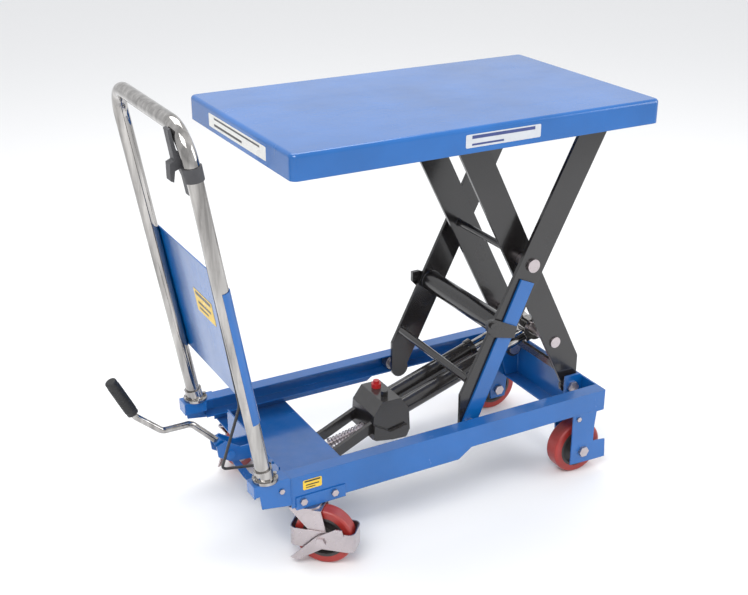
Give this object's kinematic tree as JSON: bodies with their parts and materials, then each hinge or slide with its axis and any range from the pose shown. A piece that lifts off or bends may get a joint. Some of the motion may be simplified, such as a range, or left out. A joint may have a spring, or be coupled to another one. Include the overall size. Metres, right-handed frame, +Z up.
{
  "type": "scissor lift table",
  "caption": "Mobile hydraulic scissor lift table with blue folded table and chassis, black scissor arms, chrome push handle, foot pedal pump and red-tyred wheels.",
  "frame": {"origin": "on the floor under the middle of the overall length and width", "axes": "+X from the push handle to the fixed wheels, +Y to the far side, +Z up"},
  "size_m": [1.1299, 0.5606, 0.953],
  "materials": {
    "blue_paint": "gloss",
    "black_paint": "gloss",
    "zinc": "satin",
    "chrome": "polished",
    "grey_plastic": "satin",
    "cable_black": "satin",
    "grip_rubber": "matte",
    "roller_steel": "satin",
    "red_cap": "gloss",
    "tyre_red": "satin",
    "core_dark": "satin"
  },
  "bodies": {
    "base": {"side_rail_near": "blue_paint", "side_rail_far": "blue_paint", "deck_plate": "blue_paint", "hinge_end_beam": "blue_paint", "socket_blocks": "blue_paint", "hinge_brackets": "blue_paint", "hinge_pins": "zinc", "wheel_forks": "blue_paint", "fixed_wheel_axles": "zinc", "caster_plates": "blue_paint", "chassis_bolts": "zinc", "handle_tube": "chrome", "handle_flanges": "chrome", "handle_panel": "blue_paint", "lever_bracket": "grey_plastic", "release_cable": "cable_black", "cylinder_anchor": "blue_paint", "pedal_bracket": "blue_paint"},
    "release_lever": {"release_lever": "grey_plastic"},
    "pedal": {"pedal_lever": "blue_paint", "pedal_rod": "chrome", "pedal_grip": "grip_rubber"},
    "inner_arms": {"inner_arm_near": "black_paint", "inner_arm_far": "black_paint", "inner_tie_rod": "black_paint", "inner_cross_plate": "black_paint", "crosshead_shaft": "zinc", "inner_arm_pins": "zinc"},
    "outer_arms": {"outer_arm_near": "black_paint", "outer_arm_far": "black_paint", "lift_tube": "black_paint", "outer_tie_rod": "black_paint", "base_roller_axles": "zinc", "strut_clips": "black_paint"},
    "safety_strut_near": {"safety_strut_near": "blue_paint"},
    "safety_strut_far": {"safety_strut_far": "blue_paint"},
    "table": {"table_top": "blue_paint", "roller_tracks": "blue_paint", "table_hinges": "blue_paint"},
    "base_rollers": {"base_rollers": "roller_steel"},
    "top_rollers": {"top_rollers": "roller_steel"},
    "cylinder_unit": {"cylinder_barrels": "black_paint", "pump_block": "black_paint", "yoke_bars": "black_paint", "valve_cap": "red_cap"},
    "piston_rods": {"piston_rods": "chrome"},
    "pump_plunger": {"pump_plunger": "zinc", "return_spring": "zinc"},
    "caster_near": {"caster_fork_near": "zinc"},
    "caster_wheel_near": {"caster_tyre_near": "tyre_red", "caster_core_near": "core_dark"},
    "brake_near": {"brake_lever_near": "zinc"},
    "fixed_wheel_near": {"fixed_tyre_near": "tyre_red", "fixed_core_near": "core_dark"},
    "caster_far": {"caster_fork_far": "zinc"},
    "caster_wheel_far": {"caster_tyre_far": "tyre_red", "caster_core_far": "core_dark"},
    "brake_far": {"brake_lever_far": "zinc"},
    "fixed_wheel_far": {"fixed_tyre_far": "tyre_red", "fixed_core_far": "core_dark"}
  },
  "joints": [
    {"name": "lift", "type": "hinge", "parent": "base", "child": "inner_arms", "pos_m": [0.488, 0, 0.186], "axis": [0, -1, 0], "range_deg": [0, 51.2]},
    {"name": "arm_cross", "type": "hinge", "parent": "inner_arms", "child": "outer_arms", "pos_m": [0.336, 0, 0.528], "axis": [0, -1, 0], "range_deg": [-102.5, 0]},
    {"name": "table_level", "type": "hinge", "parent": "outer_arms", "child": "table", "pos_m": [0.491, 0, 0.859], "axis": [0, -1, 0], "range_deg": [0, 51.3]},
    {"name": "base_roller_spin", "type": "hinge", "parent": "outer_arms", "child": "base_rollers", "pos_m": [0.184, 0, 0.186], "axis": [0, -1, 0], "continuous": true},
    {"name": "top_roller_spin", "type": "hinge", "parent": "inner_arms", "child": "top_rollers", "pos_m": [0.181, 0, 0.859], "axis": [0, -1, 0], "continuous": true},
    {"name": "safety_strut_near_swing", "type": "hinge", "parent": "outer_arms", "child": "safety_strut_near", "pos_m": [0.184, 0, 0.186], "axis": [0, 1, 0], "range_deg": [0, 15]},
    {"name": "safety_strut_far_swing", "type": "hinge", "parent": "outer_arms", "child": "safety_strut_far", "pos_m": [0.184, 0, 0.186], "axis": [0, 1, 0], "range_deg": [0, 15]},
    {"name": "cylinder_tilt", "type": "hinge", "parent": "base", "child": "cylinder_unit", "pos_m": [-0.144, 0, 0.1], "axis": [0, -1, 0], "range_deg": [-6, 0]},
    {"name": "rod_slide", "type": "slide", "parent": "cylinder_unit", "child": "piston_rods", "axis": [0.9516, 0, 0.3072], "range_m": [-0.0954, 0]},
    {"name": "pedal", "type": "hinge", "parent": "base", "child": "pedal", "pos_m": [-0.321, 0, 0.18], "axis": [0, -1, 0], "range_deg": [0, 12], "stiffness_Nm_per_rad": 60, "springref_deg": -11.46},
    {"name": "plunger_slide", "type": "slide", "parent": "cylinder_unit", "child": "pump_plunger", "axis": [0.9785, 0, 0.2062], "range_m": [0, 0.02]},
    {"name": "release_lever", "type": "hinge", "parent": "base", "child": "release_lever", "pos_m": [-0.428, 0, 0.858], "axis": [0, -1, 0], "range_deg": [0, 8], "stiffness_Nm_per_rad": 1.5, "springref_deg": -14.9},
    {"name": "caster_swivel_near", "type": "hinge", "parent": "base", "child": "caster_near", "pos_m": [-0.225, -0.194, 0.13], "axis": [0, 0, 1], "continuous": true},
    {"name": "caster_wheel_near_spin", "type": "hinge", "parent": "caster_near", "child": "caster_wheel_near", "pos_m": [-0.1994, -0.21787, 0.0625], "axis": [0.682, 0.7314, 0], "continuous": true},
    {"name": "brake_near", "type": "hinge", "parent": "caster_near", "child": "brake_near", "pos_m": [-0.1994, -0.21787, 0.0625], "axis": [-0.682, -0.7314, 0], "range_deg": [0, 5]},
    {"name": "fixed_wheel_near_spin", "type": "hinge", "parent": "base", "child": "fixed_wheel_near", "pos_m": [0.466, -0.173, 0.0625], "axis": [0, 1, 0], "continuous": true},
    {"name": "caster_swivel_far", "type": "hinge", "parent": "base", "child": "caster_far", "pos_m": [-0.225, 0.194, 0.13], "axis": [0, 0, 1], "continuous": true},
    {"name": "caster_wheel_far_spin", "type": "hinge", "parent": "caster_far", "child": "caster_wheel_far", "pos_m": [-0.1994, 0.21787, 0.0625], "axis": [-0.682, 0.7314, 0], "continuous": true},
    {"name": "brake_far", "type": "hinge", "parent": "caster_far", "child": "brake_far", "pos_m": [-0.1994, 0.21787, 0.0625], "axis": [0.682, -0.7314, 0], "range_deg": [0, 5]},
    {"name": "fixed_wheel_far_spin", "type": "hinge", "parent": "base", "child": "fixed_wheel_far", "pos_m": [0.466, 0.173, 0.0625], "axis": [0, 1, 0], "continuous": true}
  ],
  "couplings": [
    {"joint": "arm_cross", "follows": "lift", "ratio": -2},
    {"joint": "table_level", "follows": "lift", "ratio": 1},
    {"joint": "cylinder_tilt", "follows": "lift", "ratio": -0.11535},
    {"joint": "rod_slide", "follows": "lift", "m_per_rad": -0.1066},
    {"joint": "plunger_slide", "follows": "pedal", "m_per_rad": 0.095}
  ]
}
